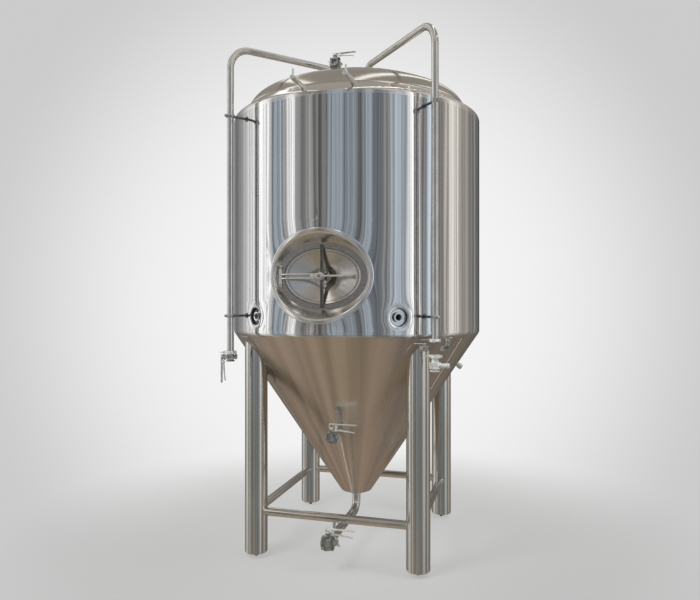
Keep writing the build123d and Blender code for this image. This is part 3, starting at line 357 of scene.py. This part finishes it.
def swell(azimuth, z):
    """How far the cladding is drawn out beside the manway's lip and in beside the port cups."""
    lip_draw = 0.0018
    lip_reach = 0.16
    cup_draw = 0.0010
    cup_reach = 0.30
    edge_band = 0.06
    around = clad_r * azimuth
    lip = hypot(around / lip_rx, (z - manway_z) / lip_rz) - 1
    rise = lip_draw * exp(-max(lip, 0) / lip_reach)
    for side in (-1, 1):
        away = hypot(around - side * clad_r * port_azimuth, z - port_z) / port_r - 1
        rise -= cup_draw * exp(-max(away, 0) / cup_reach)
    return rise * smooth_step(min(z - clad_bottom, clad_top - z) / edge_band)


def cladding_point(azimuth, z):
    """Point on the polished cylinder."""
    r = clad_r + ripple(azimuth, z) + swell(azimuth, z)
    return (r * sin(azimuth), -r * cos(azimuth), z)


# Grid of the cladding, and the windows in it that each hold one oval hole
columns = 720
row_count = 120
column_step = 2 * pi / columns
row_step = (clad_top - clad_bottom) / row_count


def hole_window(azimuth, z, half_azimuth, low, high, rx, rz):
    """Window's first and last column and row, then its oval's centre and half axes."""
    middle = round(azimuth / column_step)
    half = round(half_azimuth / column_step)
    return (middle - half, middle + half, low, high, azimuth, z, rx, rz)


windows = [hole_window(0, manway_z, radians(24), 1, 57, lip_rx, lip_rz)]
for side in (-1, 1):
    windows.append(hole_window(side * port_azimuth, port_z, radians(7), 0, 16, port_r, port_r))


def build_cladding():
    """Cylinder on a fine grid, with rings of points that run in to each oval hole."""
    rings = 12
    crowding = 1.6
    points = []
    index = {}
    faces = []

    def grid(column, row):
        """Index of a grid point, made when first asked for."""
        key = (column % columns, row)
        if key not in index:
            index[key] = len(points)
            points.append(cladding_point(key[0] * column_step, clad_bottom + row * row_step))
        return index[key]

    def in_window(column, row):
        """Whether a cell of the grid lies in a window."""
        return any(
            first <= column < last and low <= row < high for first, last, low, high, *_ in windows
        )

    for row in range(row_count):
        for column in range(-columns // 2, columns // 2):
            if not in_window(column, row):
                low_edge = (grid(column, row), grid(column + 1, row))
                faces.append((*low_edge, grid(column + 1, row + 1), grid(column, row + 1)))
    for first, last, low, high, azimuth, z, rx, rz in windows:
        border = [(column, low) for column in range(first, last)]
        border += [(last, row) for row in range(low, high)]
        border += [(column, high) for column in range(last, first, -1)]
        border += [(first, row) for row in range(high, low, -1)]
        outer = [grid(*place) for place in border]
        for ring in range(1, rings + 1):
            share = 1 - (1 - ring / rings) ** crowding
            inner = []
            for column, row in border:
                edge_u = (column * column_step - azimuth) * clad_r
                edge_v = clad_bottom + row * row_step - z
                way = atan2(edge_v / rz, edge_u / rx)
                u = edge_u + (rx * cos(way) - edge_u) * share
                v = edge_v + (rz * sin(way) - edge_v) * share
                inner.append(len(points))
                points.append(cladding_point(azimuth + u / clad_r, z + v))
            for i in range(len(border)):
                j = (i + 1) % len(border)
                faces.append((outer[i], outer[j], inner[j], inner[i]))
            outer = inner
    skin = new_piece(
        "cladding_skin", points, faces, "mirror_steel", "mirror_steel", "tank", "outer_cladding"
    )
    thicken(skin, sheet)


def strip_faces(turns, rows, closed=True):
    """Faces between neighbouring columns of points, each rows long."""
    made = []
    for turn in range(turns if closed else turns - 1):
        here, there = turn * rows, (turn + 1) % turns * rows
        for row in range(rows - 1):
            made.append((here + row, here + row + 1, there + row + 1, there + row))
    return made


def bend(first, corner, last, t):
    """Point on the round turn from one place to another by way of a corner."""
    return first * (1 - t) ** 2 + corner * 2 * t * (1 - t) + last * t * t


def funnel_point(way, y):
    """Inner face of the funnel at a depth."""
    share = (y - frame_front_y) / (funnel_front_y - frame_front_y)
    rx = frame_rx - sheet + (funnel_rx - frame_rx) * share
    rz = frame_rz - sheet + (funnel_rz - frame_rz) * share
    return Vector((rx * cos(way), y, manway_z + rz * sin(way)))


def funnel_mouth(way):
    """Where the funnel meets the raised lip's cylinder, found by repeated trial."""
    trials = 8
    y = -clad_r
    for _ in range(trials):
        y = -sqrt(lip_r**2 - funnel_point(way, y).x ** 2)
    return funnel_point(way, y)


def lip_point(outer, inner, share):
    """Point on the raised lip, between two places given as distance round and height."""
    climb_width = 0.005
    width = hypot(inner[0] - outer[0], inner[1] - outer[1])
    azimuth = (outer[0] + (inner[0] - outer[0]) * share) / clad_r
    z = outer[1] + (inner[1] - outer[1]) * share
    base = Vector(cladding_point(azimuth, z))
    raised = Vector((lip_r * sin(azimuth), -lip_r * cos(azimuth), z))
    return base.lerp(raised, smooth_step(share * width / climb_width))


def build_collar():
    """Raised lip: up from the cladding, flat across, and over a round edge into the funnel."""
    turns = 288
    lip_steps = 12
    edge_steps = 6
    wall_steps = 10
    crowding = 1.5
    edge_r = 0.007
    points = []
    for turn in range(turns):
        way = 2 * pi * turn / turns
        mouth = funnel_mouth(way)
        outer = (lip_rx * cos(way), manway_z + lip_rz * sin(way))
        inner = (clad_r * atan2(mouth.x, -mouth.y), mouth.z)
        last_share = 1 - edge_r / hypot(inner[0] - outer[0], inner[1] - outer[1])
        for step in range(lip_steps + 1):
            points.append(lip_point(outer, inner, last_share * (step / lip_steps) ** crowding))
        edge = lip_point(outer, inner, last_share)
        down = funnel_point(way, mouth.y + edge_r)
        for step in range(1, edge_steps + 1):
            points.append(bend(edge, mouth, down, step / edge_steps))
        for step in range(1, wall_steps + 1):
            t = step / wall_steps
            points.append(funnel_point(way, down.y + (frame_front_y - down.y) * t))
    collar = new_piece(
        "manway_collar_rolled",
        points,
        strip_faces(turns, lip_steps + edge_steps + wall_steps + 1),
        "collar_steel",
        "mirror_steel",
        "tank",
        "manway_collar",
    )
    thicken(collar, sheet)


def build_cups():
    """Two formed recesses: a shallow dish, a short wall and a floor round each stub."""
    turns = 96
    dish_steps = 10
    floor_steps = 4
    dish_drop = 0.0045
    dish_corner_r = cup_r + 0.010
    dish_corner_drop = dish_drop * 0.45
    wall = [
        (cup_r - 0.0010, dish_drop + 0.0015),
        (cup_r - 0.0010, cup_depth - 0.004),
        (cup_r - 0.0022, cup_depth - 0.001),
    ]
    floor_r = cup_r - 0.005
    rows = dish_steps + 1 + len(wall) + floor_steps + 1
    points = []
    faces = []
    for side in (-1, 1):
        azimuth = side * port_azimuth
        out = Vector((sin(azimuth), -cos(azimuth), 0))
        level = Vector((cos(azimuth), sin(azimuth), 0))
        base = out * clad_r + Vector((0, 0, port_z))
        first = len(points)
        for turn in range(turns):
            way = 2 * pi * turn / turns
            spoke = level * cos(way) + Vector((0, 0, sin(way)))
            rim = Vector(
                cladding_point(azimuth + port_r * cos(way) / clad_r, port_z + port_r * sin(way))
            )
            corner = base + spoke * dish_corner_r - out * dish_corner_drop
            wall_top = base + spoke * cup_r - out * dish_drop
            for step in range(dish_steps + 1):
                points.append(bend(rim, corner, wall_top, step / dish_steps))
            for r, depth in wall:
                points.append(base + spoke * r - out * depth)
            for step in range(floor_steps + 1):
                r = floor_r + (stub_r - floor_r) * step / floor_steps
                points.append(base + spoke * r - out * cup_depth)
        for face in strip_faces(turns, rows):
            faces.append(tuple(first + number for number in face))
    cups = new_piece(
        "port_cups_formed", points, faces, "cup_steel", "mirror_steel", "tank", "port_cups"
    )
    # Painted shade: the wall's faces take the dark steel colour for the shade inside the cup
    cups.data.materials.append(finishes["dark_steel"])
    for number, face in enumerate(cups.data.polygons):
        if dish_steps <= number % (rows - 1) < dish_steps + len(wall):
            face.material_index = 1
    thicken(cups, sheet)


def build_seam(name, azimuth, low_r, high_r, width, height):
    """Ground weld bead straight up the cone, flush at its lower end."""
    steps = 60
    lanes = 7
    wander = 0.0006
    sunk = 0.0003
    bead_sheet = 0.0006
    along = Vector((cos(azimuth), sin(azimuth), 0))
    out = Vector(
        (sin(azimuth) * cos(cone_angle), -cos(azimuth) * cos(cone_angle), -sin(cone_angle))
    )
    points = []
    for step in range(steps + 1):
        t = step / steps
        r = low_r + (high_r - low_r) * t
        z = cone_tip_z + (r - cone_tip_r) / tan(cone_angle)
        centre = Vector((r * sin(azimuth), -r * cos(azimuth), z))
        centre += along * wander * sin(9 * t + azimuth)
        crest = height * (0.85 + 0.15 * sin(70 * t)) * min(1, 8 * t)
        for lane in range(lanes):
            offset = 2 * lane / (lanes - 1) - 1
            lift = crest * (1 - offset * offset) - sunk
            points.append(centre + along * offset * width / 2 + out * lift)
    faces = strip_faces(steps + 1, lanes, closed=False)
    bead = new_piece(name, points, faces, "seam_steel", "brushed_steel", "tank")
    thicken(bead, bead_sheet)


build_cladding()
build_collar()
build_cups()
build_seam("cone_seam_front", radians(0), 0.100, 0.400, width=0.012, height=0.0016)
build_seam("cone_seam_right", radians(67), 0.400, cone_rim_r, width=0.014, height=0.0016)
build_seam("cone_seam_back", radians(182), 0.100, cone_rim_r, width=0.008, height=0.0012)

# Camera: level, at standing eye height, a little to the right of the manway
camera_data = bpy.data.cameras.new("camera")
camera_data.lens = 31.89
camera_data.sensor_width = 36
camera = bpy.data.objects.new("camera", camera_data)
camera.location = (1.054, -3.880, 1.515)
view_direction = Vector((-0.2722, 0.9622, 0.0))
camera.rotation_euler = view_direction.to_track_quat("-Z", "Y").to_euler()
bpy.context.scene.collection.objects.link(camera)
bpy.context.scene.camera = camera
bpy.context.scene.view_settings.view_transform = "Standard"

# Studio round the tank: azimuth in degrees from +X towards +Y, brightness and tint of each panel
cool = (0.84, 0.93, 1.03)
neutral = (1.0, 0.99, 0.98)
warm = (1.06, 0.99, 0.90)
room_panels = [
    (-180, 1.10, neutral),
    (-166, 1.00, neutral),
    (-159, 0.70, neutral),
    (-154, 0.26, cool),
    (-147, 0.52, cool),
    (-141, 0.38, neutral),
    (-134, 1.35, neutral),
    (-130, 0.42, neutral),
    (-122, 0.22, neutral),
    (-115, 0.40, neutral),
    (-106, 0.17, warm),
    (-94, 0.50, cool),
    (-89, 0.46, cool),
    (-85, 0.18, cool),
    (-79, 0.42, cool),
    (-73, 0.09, neutral),
    (-65, 0.38, cool),
    (-55, 0.18, cool),
    (-49, 0.24, neutral),
    (-41, 0.50, cool),
    (-33, 0.36, cool),
    (-26, 1.30, neutral),
    (-20, 1.05, neutral),
    (-14, 0.15, warm),
    (-9, 0.78, cool),
    (-2, 0.28, neutral),
    (7, 0.17, warm),
    (21, 0.95, warm),
    (36, 0.40, warm),
    (77, 0.12, neutral),
    (146, 0.20, neutral),
    (172, 0.80, neutral),
]


def room_wall(tree, parts):
    """Upright panels by azimuth, with broad and fine streaks."""
    azimuth = sum_of(tree, "ARCTAN2", parts.outputs[1], parts.outputs[0])
    ramp = add_node(tree, "ShaderNodeValToRGB", {0: spread_range(tree, azimuth, 0, 1, -pi, pi)})
    stops = ramp.color_ramp.elements
    while len(stops) < len(room_panels):
        stops.new(0.5)
    for stop, (angle, level, tint) in zip(stops, room_panels):
        stop.position = (angle + 180) / 360
        stop.color = (*(level * part for part in tint), 1)
    way = level_direction(tree, parts)
    broad = spread_range(tree, noise(tree, way, 14.0, 2.0), 0.75, 1.25, 0.35, 0.65)
    fine = spread_range(tree, noise(tree, way, 38.0, 2.5), 0.50, 1.55, 0.36, 0.64)
    streaks = sum_of(tree, "MULTIPLY", broad, fine)
    return add_node(
        tree, "ShaderNodeVectorMath", {0: ramp.outputs[0], 3: streaks}, operation="SCALE"
    ).outputs[0]


def room_floor(tree, parts):
    """Brown floor, redder at the back and greyer to the right."""
    back = (0.36, 0.275, 0.215, 1)
    front = (0.375, 0.315, 0.215, 1)
    right = (0.15, 0.14, 0.135, 1)
    front_share = spread_range(tree, parts.outputs[1], 1, 0, -0.40, -0.12)
    right_share = spread_range(tree, parts.outputs[0], 0, 1, 0.28, 0.62)
    return mix_colour(tree, right_share, mix_colour(tree, front_share, back, front), right)


def room_ceiling(tree, parts):
    """Pale ceiling with rows of strip lamps."""
    plaster = (0.36, 0.335, 0.30, 1)
    lamp = (1.5, 1.5, 1.45, 1)
    lamp_spacing = 7.0
    least_height = 0.2
    height = sum_of(tree, "MAXIMUM", parts.outputs[2], least_height)
    across = sum_of(tree, "DIVIDE", parts.outputs[0], height)
    rows = sum_of(tree, "MULTIPLY", across, lamp_spacing)
    wave = add_node(tree, "ShaderNodeMath", {0: rows}, operation="SINE").outputs[0]
    return mix_colour(tree, spread_range(tree, wave, 0, 1, 0.80, 0.92), plaster, lamp)


def backdrop(tree, way):
    """Plain grey that the camera sees, brighter straight behind the tank."""
    edge, middle = 0.60, 0.90
    near = add_node(
        tree, "ShaderNodeVectorMath", {0: way, 1: tuple(view_direction)}, operation="DOT_PRODUCT"
    ).outputs["Value"]
    glow = spread_range(
        tree, near, edge, middle, cos(radians(33)), cos(radians(9)), kind="SMOOTHSTEP"
    )
    return add_node(tree, "ShaderNodeCombineXYZ", {0: glow, 1: glow, 2: glow}).outputs[0]


def set_world():
    """Room seen in the steel, low wall to ceiling, and the backdrop that the camera sees."""
    low_wall = (0.14, 0.14, 0.11, 1)
    world = bpy.data.worlds.new("studio")
    bpy.context.scene.world = world
    world.use_nodes = True
    tree = world.node_tree
    tree.nodes.clear()
    way = add_node(tree, "ShaderNodeTexCoord").outputs["Generated"]
    parts = add_node(tree, "ShaderNodeSeparateXYZ", {0: way})
    up = parts.outputs[2]
    low_wall_share = spread_range(tree, up, 0.36, 0, -0.20, -0.06)
    floor_share = spread_range(tree, up, 0.9, 0, -0.62, -0.28)
    ceiling_share = spread_range(tree, up, 0, 1, 0.32, 0.60)
    room = mix_colour(tree, low_wall_share, room_wall(tree, parts), low_wall)
    room = mix_colour(tree, floor_share, room, room_floor(tree, parts))
    room = mix_colour(tree, ceiling_share, room, room_ceiling(tree, parts))
    is_camera = add_node(tree, "ShaderNodeLightPath").outputs["Is Camera Ray"]
    colour = mix_colour(tree, is_camera, room, backdrop(tree, way))
    background = add_node(tree, "ShaderNodeBackground", {0: colour, 1: 1.0})
    output = add_node(tree, "ShaderNodeOutputWorld")
    tree.links.new(background.outputs[0], output.inputs[0])


set_world()


def softbox(name, place, aim, size, power):
    """Rectangular area light that doesn't show in the steel."""
    data = bpy.data.lights.new(name, "AREA")
    data.shape = "RECTANGLE"
    data.size, data.size_y = size
    data.energy = power
    lamp = bpy.data.objects.new(name, data)
    lamp.location = place
    lamp.rotation_euler = (Vector(aim) - Vector(place)).to_track_quat("-Z", "Y").to_euler()
    lamp.visible_glossy = False
    bpy.context.scene.collection.objects.link(lamp)


softbox("key", (-2.2, -3.4, 4.6), (0, 0, 0.8), (1.6, 2.4), power=190)
softbox("rim", (3.2, -0.6, 4.6), (0, 0, 1.2), (1.2, 2.4), power=110)


def build_floor():
    """Pale floor that fades into the backdrop and doesn't show in the steel."""
    radius = 2.6
    sides = 64
    fade_start = 0.9
    alpha_inside = 0.45
    turns = [2 * pi * i / sides for i in range(sides)]
    mesh = bpy.data.meshes.new("floor")
    mesh.from_pydata(
        [(radius * cos(turn), radius * sin(turn), 0) for turn in turns], [], [tuple(range(sides))]
    )
    floor = bpy.data.objects.new("floor", mesh)
    bpy.context.scene.collection.objects.link(floor)
    floor.visible_glossy = False
    material, tree, shader = new_material(
        "floor_finish", {"Base Color": (0.34, 0.34, 0.34, 1), "Roughness": 0.9}
    )
    far = add_node(
        tree, "ShaderNodeVectorMath", {0: surface_place(tree)}, operation="LENGTH"
    ).outputs["Value"]
    alpha = spread_range(tree, far, alpha_inside, 0.0, fade_start, radius, kind="SMOOTHSTEP")
    tree.links.new(alpha, shader.inputs["Alpha"])
    mesh.materials.append(material)


build_floor()
